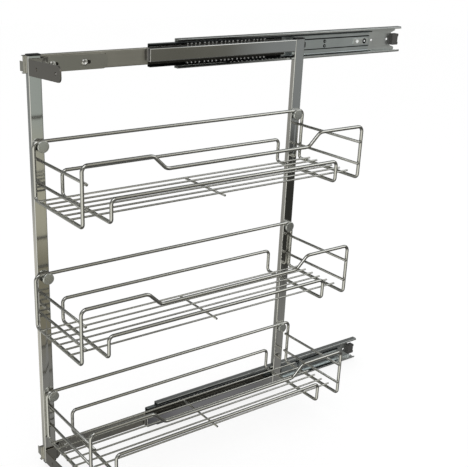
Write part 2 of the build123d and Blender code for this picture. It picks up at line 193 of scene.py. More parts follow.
# What the plating mirrors: the room, and panels in it by heading, rise, inner and outer angle and colour.
# A later panel lies over the earlier ones.
ROOM = (0.13, 0.125, 0.115)
PANELS = (
    (180, 6, 35, 80, (0.34, 0.35, 0.34)),
    (180, 50, 12, 42, (0.02, 0.02, 0.02)),
    (38, -50, 20, 36, (0.09, 0.09, 0.09)),
    (145, 7, 5, 10, (0.13, 0.13, 0.12)),
    (144, 31, 5, 12, (0.24, 0.24, 0.235)),
    (-139, -14, 6, 12, (0.42, 0.41, 0.38)),
    (-156, -25, 4, 9, (0.75, 0.73, 0.66)),
    (34, -8, 6, 11, (0.16, 0.155, 0.13)),
    (22, -11, 3.5, 7, (0.50, 0.54, 0.50)),
    (23, -18, 3, 6, (0.58, 0.56, 0.44)),
    (31, -35, 4, 9, (0.05, 0.05, 0.06)),
    (23, -24, 3, 5, (0.29, 0.27, 0.20)),
    (23, -31, 3, 5, (0.32, 0.32, 0.31)),
    (45, -8, 5, 8, (0.33, 0.345, 0.345)),
    (44, -18, 4, 7, (0.045, 0.045, 0.04)),
    (44, -26, 3, 5, (0.31, 0.31, 0.30)),
    (37, -31, 2, 5, (0.26, 0.26, 0.28)),
    (38, 25, 16, 32, (0.62, 0.60, 0.53)),
    (-85, -18, 18, 34, (0.85, 0.85, 0.80)),
    (-36, -22, 22, 42, (1.20, 1.19, 1.11)),
    (-60, 55, 14, 30, (1.00, 1.02, 1.04)),
    (70, 40, 10, 25, (0.70, 0.74, 0.78)),
)


# Settings that a user would change

def colour_setting(label, text, default):
    return bpy.props.FloatVectorProperty(name=label, description=text, default=default, size=3,
                                         subtype="COLOR", min=0, max=1)


def share_setting(label, text, default):
    return bpy.props.FloatProperty(name=label, description=text, default=default, min=0, max=1,
                                   subtype="FACTOR")


def length_setting(label, text, default):
    return bpy.props.FloatProperty(name=label, description=text, default=default, min=0,
                                   unit="LENGTH", subtype="DISTANCE", precision=5)


def place_setting(label, text, default):
    return bpy.props.FloatProperty(name=label, description=text, default=default, unit="LENGTH",
                                   precision=5)


def number_setting(label, text, default):
    return bpy.props.FloatProperty(name=label, description=text, default=default)


class PlatingSettings(bpy.types.PropertyGroup):
    tube_colour: colour_setting("Tube", "Chrome on the flat tubes", (0.56, 0.565, 0.555))
    # Painted reflection: the chrome's colour toward the foot of the posts, warmer and a little darker,
    # standing in for the room it mirrors
    tube_low_reflection: colour_setting("Tube, aged", "Slightly yellowed chrome lower down", (0.55, 0.545, 0.52))
    wire_colour: colour_setting("Wire", "Chrome on the basket wire", (0.52, 0.52, 0.49))
    cut_colour: colour_setting("Cut steel", "Sawn tube ends", (0.62, 0.61, 0.57))
    # Painted shade: the same bare steel as the sawn ends, darker to stand in for the shade inside the
    # tubes
    inside_shade_colour: colour_setting("Tube inside", "Dull inner faces of the tubes", (0.24, 0.235, 0.22))
    bracket_colour: colour_setting("Bracket", "Plated bracket sheet", (0.47, 0.465, 0.43))
    # Painted shade: the door flange, the same plated sheet as the leg, is given this darker colour
    flange_shade_colour: colour_setting("Bracket flange", "Duller plating on the door flange",
                                  (0.26, 0.245, 0.225))
    screw_colour: colour_setting("Screw", "Plated screw heads", (0.62, 0.62, 0.60))
    stud_colour: colour_setting("Stud", "Plated stud heads", (0.76, 0.78, 0.75))
    chrome_roughness: share_setting("Chrome roughness", "Haze of the chrome", 0.08)
    wire_roughness: share_setting("Wire roughness", "Haze of the wire's chrome", 0.2)


class SlideSettings(bpy.types.PropertyGroup):
    outer_colour: colour_setting("Outer rail", "Zinc of the outer rails", (0.70, 0.73, 0.725))
    middle_colour: colour_setting("Middle rail", "Zinc of the middle rails", (0.60, 0.65, 0.66))
    inner_colour: colour_setting("Inner rail", "Zinc of the inner rails", (0.50, 0.49, 0.445))
    # Oiled tracks and painted shade; also the painted shade of the rails' creases, slot, dimple rings and
    # the clip's rim
    track_oil_and_shade_colour: colour_setting("Ball track", "Oiled, dark ball tracks", (0.012, 0.013, 0.013))
    clip_colour: colour_setting("Clip", "Bright clip", (0.74, 0.77, 0.76))
    # Painted highlight: near-white colour of the clip's boss and the middle rail's pin, standing in for
    # the glint on their heads
    boss_highlight_colour: colour_setting("Boss", "Polished boss and pin of the clip", (0.95, 0.97, 0.96))
    cage_colour: colour_setting("Cage", "Dark ball cages", (0.05, 0.052, 0.052))
    ball_colour: colour_setting("Ball", "Polished balls", (0.72, 0.73, 0.72))
    zinc_roughness: share_setting("Zinc roughness", "Haze of the zinc", 0.34)
    cap_colour: colour_setting("Caps", "Black plugs", (0.003, 0.003, 0.003))
    bumper_colour: colour_setting("Bumpers", "Grey-black plastic", (0.045, 0.044, 0.042))


class EdgeSettings(bpy.types.PropertyGroup):
    sheet_edge: length_setting("Sheet edge", "Rounding of sheet and tube edges", 0.15 * MM)
    moulded_edge: length_setting("Moulded edge", "Rounding of plastic edges", 0.3 * MM)
    weld_width: length_setting("Weld width", "Half width of a weld bead", 1.7 * MM)
    weld_height: length_setting("Weld height", "Half height of a weld bead", 1.0 * MM)


class StageSettings(bpy.types.PropertyGroup):
    camera_x: place_setting("Camera X", "Camera place", -1.01792)
    camera_y: place_setting("Camera Y", "Camera place", -1.15178)
    camera_z: place_setting("Camera Z", "Camera place", 0.19301)
    azimuth: number_setting("Azimuth", "Camera heading, in degrees", -36.06)
    elevation: number_setting("Elevation", "Camera height, in degrees", 22.17)
    roll: number_setting("Roll", "Camera roll, in degrees", 1.95)
    lens: number_setting("Lens", "Focal length in millimetres", 66.41)
    shift_x: number_setting("Shift X", "Sideways lens shift", 0.0655)
    shift_y: number_setting("Shift Y", "Upward lens shift", 0.0844)
    background: colour_setting("Background", "Floor and backdrop", (1.0, 1.0, 1.0))
    floor_glow: share_setting("Floor glow", "Share of the floor that shines by itself", 0.8)
    key_power: number_setting("Key lamp", "Watts", 7.0)
    fill_power: number_setting("Fill lamp", "Watts", 3.0)


# Shader nodes

def link(tree, source, target):
    tree.links.new(source, target)


def set_socket(tree, socket, value):
    """Gives an input a number or another node's output."""
    if isinstance(value, (int, float)):
        socket.default_value = value
    else:
        link(tree, value, socket)


def math_node(tree, operation, first, second=0.0):
    node = tree.nodes.new("ShaderNodeMath")
    node.operation = operation
    set_socket(tree, node.inputs[0], first)
    set_socket(tree, node.inputs[1], second)
    return node.outputs[0]


def range_node(tree, value, low, high, out_low, out_high):
    node = tree.nodes.new("ShaderNodeMapRange")
    node.clamp = True
    ends = {"Value": value, "From Min": low, "From Max": high, "To Min": out_low, "To Max": out_high}
    for name, end in ends.items():
        set_socket(tree, node.inputs[name], end)
    return node.outputs["Result"]


def noise_node(tree, place, scale, detail):
    node = tree.nodes.new("ShaderNodeTexNoise")
    link(tree, place, node.inputs["Vector"])
    node.inputs["Scale"].default_value = scale
    node.inputs["Detail"].default_value = detail
    return node.outputs["Fac"]


def stretched(tree, place, scale):
    node = tree.nodes.new("ShaderNodeMapping")
    node.inputs["Scale"].default_value = scale
    link(tree, place, node.inputs["Vector"])
    return node.outputs["Vector"]


def mixed_colour(tree, share, first, second):
    """The first colour where the share is 0, the second where it is 1."""
    node = tree.nodes.new("ShaderNodeMix")
    node.data_type = "RGBA"
    link(tree, share, node.inputs["Factor"])
    for socket, value in ((node.inputs[6], first), (node.inputs[7], second)):
        if isinstance(value, bpy.types.NodeSocket):
            link(tree, value, socket)
        else:
            socket.default_value = (*value, 1.0)
    return node.outputs[2]


def scaled_colour(colour, share):
    return tuple(min(1.0, part * share) for part in colour)


def swinging_colour(tree, share, colour, swing):
    """A colour that wanders between two multiples of itself."""
    low, high = swing
    return mixed_colour(tree, share, scaled_colour(colour, low), scaled_colour(colour, high))


# Node groups that more than one finish uses

def new_group(name, inputs, outputs):
    """An empty group; both dictionaries give the kind of each named socket."""
    group = bpy.data.node_groups.new(name, "ShaderNodeTree")
    for way, sockets in (("INPUT", inputs), ("OUTPUT", outputs)):
        for label, kind in sockets.items():
            group.interface.new_socket(name=label, in_out=way, socket_type="NodeSocket" + kind)
    return group, group.nodes.new("NodeGroupInput"), group.nodes.new("NodeGroupOutput")


def plating_haze_group():
    """Cloudy patches and fine pits of a plated surface: a colour share, a roughness and a height."""
    group, inside, outside = new_group("plating_haze",
                                       {"Place": "Vector", "Roughness": "Float", "Haze": "Float"},
                                       {"Cloud": "Float", "Roughness": "Float", "Height": "Float"})
    place = inside.outputs["Place"]
    cloud = noise_node(group, stretched(group, place, CLOUD_SCALE), 1.0, CLOUD_DETAIL)
    centred = math_node(group, "SUBTRACT", cloud, 0.5)
    swing = math_node(group, "MULTIPLY", centred, inside.outputs["Haze"])
    roughness = math_node(group, "ADD", swing, inside.outputs["Roughness"])
    link(group, cloud, outside.inputs["Cloud"])
    link(group, roughness, outside.inputs["Roughness"])
    link(group, noise_node(group, place, PIT_SCALE, PIT_DETAIL), outside.inputs["Height"])
    return group


def rolled_grain_group():
    """Long, fine streaks that rolling leaves along X in sheet steel."""
    group, inside, outside = new_group("rolled_grain", {"Place": "Vector", "Depth": "Float"},
                                       {"Streak": "Float"})
    place = stretched(group, inside.outputs["Place"], GRAIN_SCALE)
    centred = math_node(group, "SUBTRACT", noise_node(group, place, 1.0, GRAIN_DETAIL), 0.5)
    streak = math_node(group, "MULTIPLY", centred, inside.outputs["Depth"])
    link(group, streak, outside.inputs["Streak"])
    return group


GROUP_MAKERS = {"plating_haze": plating_haze_group, "rolled_grain": rolled_grain_group}
GROUPS = {}


def placed_group(tree, name, place, **values):
    """One shared group, made when first asked for, with its inputs set."""
    if name not in GROUPS:
        GROUPS[name] = GROUP_MAKERS[name]()
    node = tree.nodes.new("ShaderNodeGroup")
    node.node_tree = GROUPS[name]
    link(tree, place, node.inputs["Place"])
    for label, value in values.items():
        node.inputs[label].default_value = value
    return node


# Masks on Object coordinates, which are the frame's own

def object_place(tree):
    return tree.nodes.new("ShaderNodeTexCoord").outputs["Object"]


def axis_share(tree, place, axis, low, high):
    """0 below the low end of a span along one axis, 1 above its high end."""
    parts = tree.nodes.new("ShaderNodeSeparateXYZ")
    link(tree, place, parts.inputs["Vector"])
    return range_node(tree, parts.outputs[axis], low, high, 0.0, 1.0)


def slide_place(tree, place):
    """X along the slides, and the height above or below the middle of the nearer slide."""
    upper, lower = (sum(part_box(side + "_middle_rail"), Vector()).z / 2 for side in SIDES)
    parts = tree.nodes.new("ShaderNodeSeparateXYZ")
    link(tree, place, parts.inputs["Vector"])
    from_centre = math_node(tree, "SUBTRACT", parts.outputs["Z"], (upper + lower) / 2)
    distance = math_node(tree, "ABSOLUTE", from_centre)
    offset = math_node(tree, "SUBTRACT", distance, (upper - lower) / 2)
    return parts.outputs["X"], math_node(tree, "ABSOLUTE", offset)


def band_share(tree, value, middle, half, soft):
    """1 within half of the middle, falling to 0 over soft."""
    gap = math_node(tree, "ABSOLUTE", math_node(tree, "SUBTRACT", value, middle))
    return range_node(tree, gap, half, half + soft, 1.0, 0.0)


def ring_share(tree, along, height, middle, level, inner, outer):
    """1 between two radii round a point of the slide; an inner radius of 0 gives a disc."""
    across = math_node(tree, "SUBTRACT", along, middle)
    rise = math_node(tree, "SUBTRACT", height, level)
    squares = math_node(tree, "ADD", math_node(tree, "MULTIPLY", across, across),
                        math_node(tree, "MULTIPLY", rise, rise))
    radius = math_node(tree, "SQRT", squares)
    return band_share(tree, radius, (inner + outer) / 2, (outer - inner) / 2, RING_SOFT)


# Finishes

def new_finish(name):
    material = bpy.data.materials.new(name)
    material.use_nodes = True
    tree = material.node_tree
    return material, tree, tree.nodes[PRINCIPLED], object_place(tree)


def further_layer(material):
    """What another layer on a finish needs: its tree, shader, colour so far and place."""
    tree = material.node_tree
    shader = tree.nodes[PRINCIPLED]
    base = shader.inputs["Base Color"].links[0].from_socket
    return tree, shader, base, object_place(tree)


def hazed(tree, shader, place, roughness, haze):
    """Gives the shader a hazy roughness and returns the haze for its colour and bumps."""
    node = placed_group(tree, "plating_haze", place, Roughness=roughness, Haze=haze)
    link(tree, node.outputs["Roughness"], shader.inputs["Roughness"])
    return node


def add_bump(tree, shader, height, distance):
    node = tree.nodes.new("ShaderNodeBump")
    node.inputs["Distance"].default_value = distance
    node.inputs["Strength"].default_value = 1.0
    link(tree, height, node.inputs["Height"])
    link(tree, node.outputs["Normal"], shader.inputs["Normal"])


def plated_finish(name, colour, roughness, haze=PLATED_HAZE, metal=1.0):
    """Bright plating with cloudy haze and fine pits."""
    material, tree, shader, place = new_finish(name)
    clouds = hazed(tree, shader, place, roughness, haze)
    base = swinging_colour(tree, clouds.outputs["Cloud"], colour, PLATED_SWING)
    link(tree, base, shader.inputs["Base Color"])
    shader.inputs["Metallic"].default_value = metal
    add_bump(tree, shader, clouds.outputs["Height"], PLATED_BUMP)
    return material


def plating_with_low_reflection(name, colour, low_reflection, roughness):
    """Plating that turns to a painted reflection colour, warmer and a little darker, toward the foot of
    the posts.
    """
    material = plated_finish(name, colour, roughness)
    tree, shader, base, place = further_layer(material)
    low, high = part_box("front_post")
    # painted reflection: the colour blends toward the lower one down the front post's height
    share = axis_share(tree, place, "Z", low.z, high.z)
    link(tree, mixed_colour(tree, share, low_reflection, base), shader.inputs["Base Color"])
    return material


def bracket_finish(name, leg, flange, roughness):
    """Plated sheet, with painted shade making it darker on the flange that stands out from the frame."""
    material = plated_finish(name, leg, roughness)
    tree, shader, base, place = further_layer(material)
    # painted shade on the flange beyond its depth
    share = axis_share(tree, place, "Y", *BRACKET_FLANGE_DEPTH)
    link(tree, mixed_colour(tree, share, flange, base), shader.inputs["Base Color"])
    return material


def highlight_spot(tree, shader, share, base, highlight_colour):
    """Gives one spot of a metal a painted highlight: a pale, less metallic colour, which shows pale from
    every side.
    """
    link(tree, mixed_colour(tree, share, base, highlight_colour), shader.inputs["Base Color"])
    link(tree, range_node(tree, share, 0.0, 1.0, 1.0, HIGHLIGHT_METAL), shader.inputs["Metallic"])


def clip_finish(name, colour, roughness, highlight_colour, rim_shade_colour):
    """Plated spring steel with a painted highlight on its boss and painted shade as a dark rim round its
    hole.
    """
    material = plated_finish(name, colour, roughness)
    tree, shader, base, place = further_layer(material)
    along, height = slide_place(tree, place)
    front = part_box("upper_middle_clip")[0].x
    # painted shade: a dark rim round the hole
    rim = ring_share(tree, along, height, front + CLIP_HOLE, 0.0, 0.0, CLIP_RIM_RADIUS)
    # painted highlight on the boss
    boss = ring_share(tree, along, height, front + CLIP_BOSS, 0.0, 0.0, CLIP_BOSS_RADIUS)
    highlight_spot(tree, shader, boss, mixed_colour(tree, rim, base, rim_shade_colour), highlight_colour)
    return material


def zinc_finish(name, colour, roughness):
    """Rolled, zinc-plated steel."""
    material, tree, shader, place = new_finish(name)
    clouds = hazed(tree, shader, place, roughness, ZINC_HAZE)
    streak = placed_group(tree, "rolled_grain", place, Depth=GRAIN_DEPTH).outputs["Streak"]
    share = math_node(tree, "ADD", clouds.outputs["Cloud"], streak)
    link(tree, swinging_colour(tree, share, colour, ZINC_SWING), shader.inputs["Base Color"])
    shader.inputs["Metallic"].default_value = 1.0
    add_bump(tree, shader, streak, ZINC_BUMP)
    return material


def lipped_zinc(name, colour, roughness):
    """The outer rails' zinc, with painted shade: darker outside the flanges and dark in the front lips.
    """
    material = zinc_finish(name, colour, roughness)
    tree, shader, base, place = further_layer(material)
    along, height = slide_place(tree, place)
    # painted shade on the flanges, then in the front lips
    flange = range_node(tree, height, *FLANGE_LEVEL, 0.0, 1.0)
    base = mixed_colour(tree, flange, base, scaled_colour(colour, FLANGE_SHADE_SHARE))
    front = range_node(tree, along, *LIP_RUN, 1.0, 0.0)
    lip = math_node(tree, "SUBTRACT", 1.0, axis_share(tree, place, "Y", *LIP_DEPTH))
    dark = math_node(tree, "MULTIPLY", front, math_node(tree, "SUBTRACT", lip, flange))
    share = math_node(tree, "MAXIMUM", dark, 0.0)
    base = mixed_colour(tree, share, base, scaled_colour(colour, LIP_SHADE_SHARE))
    link(tree, base, shader.inputs["Base Color"])
    return material


def stepped_zinc(name, colour, roughness):
    """The inner rails' zinc, with painted shade in the steps beside the tubes and under the brackets'
    slots.
    """
    material = zinc_finish(name, colour, roughness)
    tree, shader, base, place = further_layer(material)
    along, height = slide_place(tree, place)
    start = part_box("upper_tube")[0].x
    behind = range_node(tree, along, start, start + FADE, 0.0, 1.0)
    step = math_node(tree, "MULTIPLY", behind, range_node(tree, height, *STEP_LEVEL, 0.0, 1.0))
    front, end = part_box("front_post")[1].x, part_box("upper_door_bracket")[1].x - COVER_OVERLAP
    under = band_share(tree, along, (front + end) / 2, (end - front) / 2, COVERED_SOFT)
    covered = math_node(tree, "MULTIPLY", under, range_node(tree, height, *COVERED_LEVEL, 1.0, 0.0))
    near = math_node(tree, "SUBTRACT", 1.0, axis_share(tree, place, "Y", *STEP_DEPTH))
    share = math_node(tree, "MULTIPLY", math_node(tree, "MAXIMUM", step, covered), near)
    # painted shade in the steps and under the brackets
    base = mixed_colour(tree, share, base, scaled_colour(colour, STEP_SHADE_SHARE))
    link(tree, base, shader.inputs["Base Color"])
    return material


def marked_zinc(name, colour, roughness, track, highlight_colour):
    """The middle rails' zinc: tracks dark partly with oil, partly as painted shade, and painted shade on
    the flanges, in creases along the strip and round its marks.
    """
    material = zinc_finish(name, colour, roughness)
    tree, shader, base, place = further_layer(material)
    # oiled tracks and painted shade in front of the track depth
    base = mixed_colour(tree, axis_share(tree, place, "Y", *TRACK_DEPTH), track, base)
    along, height = slide_place(tree, place)
    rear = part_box("upper_middle_rail")[1].x
    dimple, slot = rear - DIMPLE_FROM_REAR, rear - SLOT_FROM_REAR
    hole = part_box("upper_middle_clip")[0].x + CLIP_HOLE
    inner_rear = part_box("upper_inner_rail")[1].x
    half_length, half_height = SLOT_HALVES
    # painted shade: the strip's creases, the slot, the web above the inner rail, the dimple's ring and
    # the ring in the clip's hole
    marks = (
        band_share(tree, height, *STRIP_BAND),
        math_node(tree, "MULTIPLY", band_share(tree, along, slot, half_length, SLOT_SOFT),
                  band_share(tree, height, 0.0, half_height, SLOT_SOFT)),
        math_node(tree, "MULTIPLY", range_node(tree, along, inner_rear, inner_rear + FADE, 1.0, 0.0),
                  band_share(tree, height, *TRACK_BAND)),
        ring_share(tree, along, height, dimple, DIMPLE_LEVEL, *DIMPLE_RADII),
        ring_share(tree, along, height, hole, 0.0, CLIP_PIN_RADIUS, CLIP_HOLE_RADIUS),
    )
    for share in marks:
        base = mixed_colour(tree, share, base, track)
    # painted shade on the flanges
    flange = range_node(tree, height, *MIDDLE_FLANGE_LEVEL, 0.0, 1.0)
    base = mixed_colour(tree, flange, base, scaled_colour(colour, MIDDLE_FLANGE_SHADE_SHARE))
    # painted highlight on the pin seen in the clip's hole
    pin = ring_share(tree, along, height, hole, 0.0, 0.0, CLIP_PIN_TOP_RADIUS)
    highlight_spot(tree, shader, pin, base, highlight_colour)
    return material


def plastic_finish(name, colour, roughness):
    """Moulded plastic with a fine spark-eroded grain."""
    material, tree, shader, place = new_finish(name)
    clouds = hazed(tree, shader, place, roughness, PLASTIC_HAZE)
    base = swinging_colour(tree, clouds.outputs["Cloud"], colour, PLASTIC_SWING)
    link(tree, base, shader.inputs["Base Color"])
    add_bump(tree, shader, clouds.outputs["Height"], PLASTIC_BUMP)
    return material


def bare_finish(name, colour, far_shade_colour=None):
    """Dull, unplated steel; far_shade_colour, a painted shade, is for the walls behind the near one."""
    material, tree, shader, place = new_finish(name)
    clouds = hazed(tree, shader, place, ROUGHNESS["bare"], BARE_HAZE)
    base = swinging_colour(tree, clouds.outputs["Cloud"], colour, BARE_SWING)
    if far_shade_colour is not None:
        # painted shade on the walls behind the near one
        base = mixed_colour(tree, axis_share(tree, place, "Y", *NEAR_WALL_DEPTH), base, far_shade_colour)
    link(tree, base, shader.inputs["Base Color"])
    shader.inputs["Metallic"].default_value = BARE_METAL
    return material


def finish_makers():
    """How the finish of each kind of piece is made."""
    plating = bpy.context.scene.pantry_plating
    slide = bpy.context.scene.pantry_slides
    zinc = slide.zinc_roughness
    return {
        "tube": lambda: plating_with_low_reflection("tube_chrome", plating.tube_colour, plating.tube_low_reflection,
                                     plating.chrome_roughness),
        "wire": lambda: plated_finish("wire_chrome", plating.wire_colour, plating.wire_roughness),
        "bracket": lambda: bracket_finish("bracket_plate", plating.bracket_colour,
                                          plating.flange_shade_colour, ROUGHNESS["bracket"]),
        "screw": lambda: plated_finish("screw_plate", plating.screw_colour, ROUGHNESS["screw"]),
        "stud": lambda: plated_finish("stud_plate", plating.stud_colour, ROUGHNESS["stud"]),
        "ball": lambda: plated_finish("ball_polish", slide.ball_colour, ROUGHNESS["ball"],
                                      BALL_HAZE, BALL_METAL),
        "clip": lambda: clip_finish("clip_zinc", slide.clip_colour, ROUGHNESS["clip"],
                                    slide.boss_highlight_colour, slide.track_oil_and_shade_colour),
        "outer": lambda: lipped_zinc("outer_rail_zinc", slide.outer_colour, zinc),
        "middle": lambda: marked_zinc("middle_rail_zinc", slide.middle_colour, zinc,
                                      slide.track_oil_and_shade_colour, slide.boss_highlight_colour),
        "inner": lambda: stepped_zinc("inner_rail_zinc", slide.inner_colour, zinc),
        # painted shade: the sawn end's far walls take the darker inside colour
        "cut": lambda: bare_finish("cut_steel", plating.cut_colour, plating.inside_shade_colour),
        "inside": lambda: bare_finish("tube_inside_shaded", plating.inside_shade_colour),
        "cage": lambda: plated_finish("cage_strip", slide.cage_colour, ROUGHNESS["cage"]),
        "cap": lambda: plastic_finish("cap_plastic", slide.cap_colour, ROUGHNESS["cap"]),
        "bumper": lambda: plastic_finish("bumper_plastic", slide.bumper_colour, ROUGHNESS["bumper"]),
    }


FINISHES = {}


def finish(kind):
    """The finish of one kind of piece, made once."""
    if kind not in FINISHES:
        FINISHES[kind] = finish_makers()[kind]()
    return FINISHES[kind]


# Pieces made from the solids

def joined_mesh(node):
    """A merged, smooth-shaded copy of one node's mesh."""
    mesh = frame["nodes"][node].data.copy()
    mesh.name = node
    shape = bmesh.new()
    shape.from_mesh(mesh)
    bmesh.ops.remove_doubles(shape, verts=shape.verts, dist=MERGE_GAP)
    shape.to_mesh(mesh)
    shape.free()
    mesh.shade_smooth()
    mesh.set_sharp_from_angle(angle=SMOOTH_ANGLE)
    return mesh


def add_piece(name, mesh, body, material):
    """A finished piece that rides on one body."""
    piece = bpy.data.objects.new(name, mesh)
    bpy.context.scene.collection.objects.link(piece)
    mesh.materials.clear()
    mesh.materials.append(material)
    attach(piece, body)
    return piece


def round_edges(piece, width):
    """Small rounded edges that catch the light."""
    bevel = piece.modifiers.new("edges", "BEVEL")
    bevel.width = width
    bevel.segments = BEVEL_SEGMENTS
    bevel.limit_method = "ANGLE"
    bevel.angle_limit = BEVEL_ANGLE
    bevel.harden_normals = True
    bevel.use_clamp_overlap = True
    flatten = piece.modifiers.new("flats", "WEIGHTED_NORMAL")
    flatten.keep_sharp = True


def dress(node, material, edge=0):
    """Replaces a node by its merged copy with a finish and, where an edge is given, rounded edges."""
    body = frame["nodes"][node]["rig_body"]
    piece = add_piece(node + "_dressed", joined_mesh(node), body, material)
    if edge:
        round_edges(piece, edge)
    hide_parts(node)
    return piece


def dress_tube(node, material, edge):
    """A tube with bare steel inside and on its sawn front end, darkened as painted shade inside and on
    the end's far walls.
    """
    piece = dress(node, material, edge)
    low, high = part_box(node)
    middle = (low + high) / 2
    inside, cut = 1, 2
    piece.data.materials.append(finish("inside"))
    piece.data.materials.append(finish("cut"))
    for face in piece.data.polygons:
        if face.normal.x < CUT_END_FACING and face.center.x < low.x + CUT_END_REACH:
            face.material_index = cut
        elif all(abs(face.center[axis] - middle[axis]) < high[axis] - middle[axis] - TUBE_WALL
                 for axis in (1, 2)):
            face.material_index = inside


# Welds of the baskets

def weld_bead(shape, middle, half_width, half_height, upright=False):
    """One flattened bead in a bmesh: flat across Z, or across X when upright."""
    size = [half_width, half_width, half_width]
    size[0 if upright else 2] = half_height
    matrix = Matrix.Translation(middle) @ Matrix.Diagonal((*size, 1.0))
    bmesh.ops.create_icosphere(shape, subdivisions=2, radius=1.0, matrix=matrix)


def wire_boxes(node, along):
    """The box of each separate wire in a node, in order along one axis and, where level, along X."""
    shape = bmesh.new()
    shape.from_mesh(frame["nodes"][node].data)
    bmesh.ops.remove_doubles(shape, verts=shape.verts, dist=MERGE_GAP)
    left = set(shape.verts)
    boxes = []
    while left:
        front = [left.pop()]
        island = []
        while front:
            vertex = front.pop()
            island.append(vertex.co.copy())
            for edge in vertex.link_edges:
                other = edge.other_vert(vertex)
                if other in left:
                    left.remove(other)
                    front.append(other)
        low = Vector([min(point[axis] for point in island) for axis in range(3)])
        high = Vector([max(point[axis] for point in island) for axis in range(3)])
        boxes.append((low, high))
    shape.free()
    return sorted(boxes, key=lambda box: ((box[0] + box[1])[along], box[0].x))


def basket_welds(basket):
    """Beads where the floor wires, side wires and cross wire touch what carries them."""
    edges = bpy.context.scene.pantry_edges
    wide, tall = edges.weld_width, edges.weld_height
    shape = bmesh.new()
    loop_low, loop_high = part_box(basket + "_basket_frame_loop")
    rail_low, rail_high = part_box(basket + "_basket_rail_loop")
    cross_low, cross_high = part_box(basket + "_basket_cross_wire")
    cross = (cross_low.x + cross_high.x) / 2
    floors = wire_boxes(basket + "_basket_floor_wires", 1)
    # the floor wires lie on the loop's wire, so their underside gives its thickness
    floor_low = floors[0][0].z
    radius = (floor_low - loop_low.z) / 2
    runs = (loop_low.x + radius, rail_low.x + radius, rail_high.x - radius, loop_high.x - radius)
    for low, high in floors:
        y = (low.y + high.y) / 2
        for x in runs:
            weld_bead(shape, Vector((x, y, floor_low)), wide, tall)
        weld_bead(shape, Vector((cross, y, cross_high.z)), wide, tall)
    for low, high in wire_boxes(basket + "_basket_side_wires", 2):
        at_front = (low.x + high.x) / 2 < cross
        x = low.x if at_front else high.x
        for y in (loop_low.y + radius, loop_high.y - radius):
            weld_bead(shape, Vector((x, y, (low.z + high.z) / 2)), wide, tall, upright=True)
    mesh = bpy.data.meshes.new(basket + "_basket_welds")
    shape.to_mesh(mesh)
    shape.free()
    mesh.shade_smooth()
    add_piece(basket + "_basket_welds", mesh, basket + "_basket", finish("wire"))


# Operators

class PANTRY_OT_frame(bpy.types.Operator):
    """Chromes the posts and tubes and finishes their caps"""
    bl_idname = "pantry.frame"
    bl_label = "Frame of flat tube"

    def execute(self, context):
        edges = context.scene.pantry_edges
        for node in ("front_post", "rear_post"):
            dress(node, finish("tube"), edges.sheet_edge)
        for node in ("upper_tube", "lower_tube"):
            dress_tube(node, finish("tube"), edges.sheet_edge)
        dress("post_caps", finish("cap"))
        return {"FINISHED"}


class PANTRY_OT_slides(bpy.types.Operator):
    """Finishes the rails, cages, balls, clips and bumpers"""
    bl_idname = "pantry.slides"
    bl_label = "Ball slides"

    def execute(self, context):
        edges = context.scene.pantry_edges
        for side in SIDES:
            for rail in ("outer", "middle", "inner"):
                dress(side + "_" + rail + "_rail", finish(rail), edges.sheet_edge)
            dress(side + "_middle_clip", finish("clip"), edges.sheet_edge)
            dress(side + "_rail_bumper", finish("bumper"), edges.moulded_edge)
            for row in ("inner", "outer"):
                dress(side + "_" + row + "_cage", finish("cage"))
                dress(side + "_" + row + "_balls", finish("ball"))
        return {"FINISHED"}


class PANTRY_OT_fittings(bpy.types.Operator):
    """Finishes the door brackets, screws and basket studs"""
    bl_idname = "pantry.fittings"
    bl_label = "Brackets, screws and studs"

    def execute(self, context):
        edges = context.scene.pantry_edges
        for side in SIDES:
            dress(side + "_door_bracket", finish("bracket"), edges.sheet_edge)
        dress("bracket_screws", finish("screw"))
        dress("rail_screws", finish("screw"))
        dress("basket_studs", finish("stud"))
        return {"FINISHED"}


class PANTRY_OT_baskets(bpy.types.Operator):
    """Chromes the basket wires and adds their weld beads"""
    bl_idname = "pantry.baskets"
    bl_label = "Wire baskets"

    def execute(self, context):
        for basket in BASKETS:
            for wire in ("frame_loop", "rail_loop", "side_wires", "floor_wires", "cross_wire"):
                dress(basket + "_basket_" + wire, finish("wire"))
            basket_welds(basket)
        return {"FINISHED"}


# Stage

def camera_matrix(stage):
    """Place and turn of the camera, from its heading, height and roll."""
    azimuth, elevation, roll = (math.radians(a) for a in (stage.azimuth, stage.elevation, stage.roll))
    back = Vector((math.sin(azimuth) * math.cos(elevation), -math.cos(azimuth) * math.cos(elevation),
                   math.sin(elevation)))
    level = Vector((math.cos(azimuth), math.sin(azimuth), 0))
    top = back.cross(level)
    right = math.cos(roll) * level + math.sin(roll) * top
    up = -math.sin(roll) * level + math.cos(roll) * top
    turn = Matrix((right, up, back)).transposed().to_4x4()
    return Matrix.Translation((stage.camera_x, stage.camera_y, stage.camera_z)) @ turn


def add_camera(stage):
    data = bpy.data.cameras.new("photo_camera")
    data.sensor_fit = "HORIZONTAL"
    data.sensor_width = SENSOR_WIDTH
    data.lens = stage.lens
    data.shift_x = stage.shift_x
    data.shift_y = stage.shift_y
    data.clip_start, data.clip_end = CLIP_RANGE
    camera = bpy.data.objects.new("photo_camera", data)
    camera.matrix_world = camera_matrix(stage)
    bpy.context.scene.collection.objects.link(camera)
    bpy.context.scene.camera = camera


def add_lamp(name, place, target, size, power):
    data = bpy.data.lights.new(name, "AREA")
    data.shape = "DISK"
    data.size = size
    data.energy = power
    lamp = bpy.data.objects.new(name, data)
    lamp.location = place
    lamp.rotation_mode = "QUATERNION"
    lamp.rotation_quaternion = (Vector(target) - Vector(place)).to_track_quat("-Z", "Y")
    bpy.context.scene.collection.objects.link(lamp)


